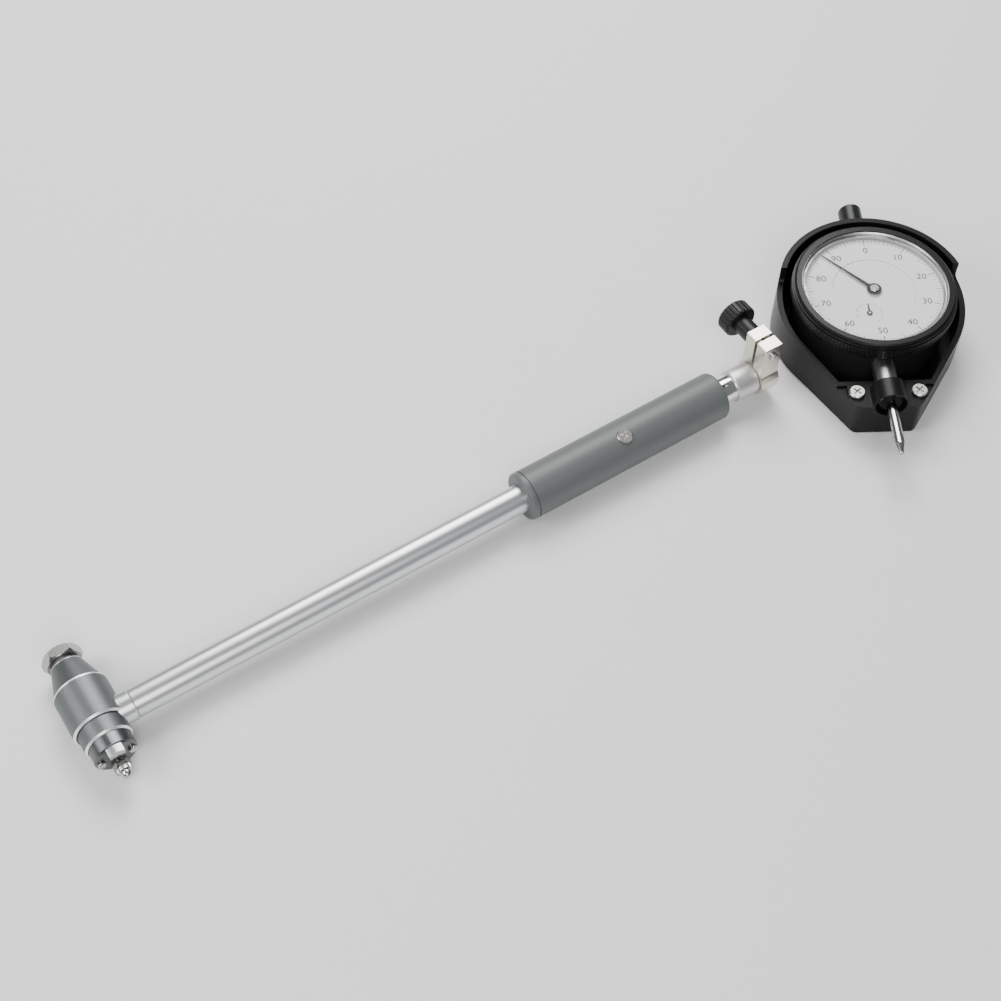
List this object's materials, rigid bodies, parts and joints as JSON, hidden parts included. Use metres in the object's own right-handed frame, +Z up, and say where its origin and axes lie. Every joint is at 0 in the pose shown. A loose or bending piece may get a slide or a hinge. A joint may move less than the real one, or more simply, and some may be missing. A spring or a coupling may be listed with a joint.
{
  "type": "dial bore gauge",
  "caption": "Dial bore gauge for measuring inside diameters: T-shaped head on a tube handle with a grip, and its dial indicator lying beside it in a guard.",
  "frame": {"origin": "bottom centre of the bounding box, on the floor that both halves lie on", "axes": "+X along the handle, from the measuring head to the clamp; +Y from the moving contact to the anvil's seat; +Z up, the way the dial faces"},
  "size_m": [0.3418, 0.0984, 0.0289],
  "materials": {
    "head_satin": "satin",
    "tube_satin": "satin",
    "steel": "ground",
    "hard_steel": "polished",
    "chrome": "polished",
    "brass": "turned",
    "grip_grey": "matt",
    "black": "semi-gloss",
    "guard_black": "semi-gloss moulded",
    "bezel_black": "satin anodised",
    "dial_white": "matt printed",
    "pointer_dark": "matt",
    "crystal": "clear",
    "case_grey": "satin"
  },
  "bodies": {
    "frame": {"head_body": "head_satin", "anvil_bush": "brass", "plunger_bush": "brass", "lever_pin": "hard_steel", "bridge_guide_pins": "steel", "bridge_springs": "hard_steel", "head_ferrule": "tube_satin", "tube": "tube_satin", "rod_guides": "brass", "rod_spring": "hard_steel", "grip": "grip_grey", "grip_screw": "steel", "sleeve_plug": "brass", "stem_sleeve": "chrome", "collar": "tube_satin", "clamp": "chrome", "guard_shell": "guard_black", "guard_saddle": "guard_black", "guard_screws": "chrome", "indicator_case": "case_grey", "case_back": "case_grey", "back_screws": "steel", "movement_plate": "brass", "movement_posts": "brass", "dial_centre": "dial_white", "stem": "steel", "spindle_spring": "hard_steel", "spindle_cap": "black"},
    "contact": {"contact_plunger": "hard_steel", "contact_lock_nut": "chrome", "contact_tip": "hard_steel"},
    "bridge": {"centring_bridge": "steel", "bridge_feet": "hard_steel"},
    "lever": {"transfer_lever": "steel"},
    "rod": {"push_rod": "steel"},
    "knob": {"clamp_screw": "chrome", "clamp_knob": "black"},
    "lock_nut": {"anvil_lock_nut": "chrome"},
    "spindle": {"spindle": "steel", "contact_point": "hard_steel"},
    "pointer": {"pointer": "pointer_dark", "pointer_hub": "pointer_dark", "pointer_arbor": "steel"},
    "counter": {"counter_hand": "pointer_dark", "counter_arbor": "steel"},
    "bezel": {"bezel": "bezel_black", "bezel_liner": "chrome", "crystal": "crystal", "dial_scale": "dial_white"}
  },
  "joints": [
    {"name": "contact_slide", "type": "slide", "parent": "frame", "child": "contact", "axis": [0, 1, 0], "range_m": [0, 0.0012], "stiffness_N_per_m": 400, "springref_m": -0.005},
    {"name": "lever_turn", "type": "hinge", "parent": "frame", "child": "lever", "pos_m": [-0.15898, 0.00536, 0.00875], "axis": [0, 0, -1], "range_deg": [0, 21.6]},
    {"name": "rod_slide", "type": "slide", "parent": "frame", "child": "rod", "axis": [1, 0, 0], "range_m": [0, 0.00122], "deforming": ["rod_spring"]},
    {"name": "bridge_slide", "type": "slide", "parent": "frame", "child": "bridge", "axis": [0, 1, 0], "range_m": [0, 0.0018], "stiffness_N_per_m": 400, "springref_m": -0.004, "deforming": ["bridge_springs"]},
    {"name": "knob_turn", "type": "hinge", "parent": "frame", "child": "knob", "pos_m": [0.08977, 0.00856, 0.02275], "axis": [0, 1, 0], "range_deg": [0, 360]},
    {"name": "lock_nut_turn", "type": "hinge", "parent": "frame", "child": "lock_nut", "pos_m": [-0.16218, 0.03356, 0.00875], "axis": [0, 1, 0], "range_deg": [0, 360]},
    {"name": "spindle_slide", "type": "slide", "parent": "frame", "child": "spindle", "axis": [0.5105, 0.8599, 0], "range_m": [0, 0.01], "stiffness_N_per_m": 30, "springref_m": -0.02, "deforming": ["spindle_spring"]},
    {"name": "pointer_turn", "type": "hinge", "parent": "frame", "child": "pointer", "pos_m": [0.13772, 0.00736, 0.024], "axis": [0, 0, -1], "range_deg": [0, 3601]},
    {"name": "counter_turn", "type": "hinge", "parent": "frame", "child": "counter", "pos_m": [0.12958, -0.00003, 0.023], "axis": [0, 0, 1], "range_deg": [0, 360.1]},
    {"name": "bezel_turn", "type": "hinge", "parent": "frame", "child": "bezel", "pos_m": [0.13772, 0.00736, 0.023], "axis": [0, 0, 1], "continuous": true}
  ],
  "couplings": [
    {"joint": "lever_turn", "follows": "contact_slide", "rad_per_m": 312.5},
    {"joint": "rod_slide", "follows": "contact_slide", "ratio": 1},
    {"joint": "pointer_turn", "follows": "spindle_slide", "rad_per_m": 6283.2},
    {"joint": "counter_turn", "follows": "spindle_slide", "rad_per_m": 628.32}
  ]
}
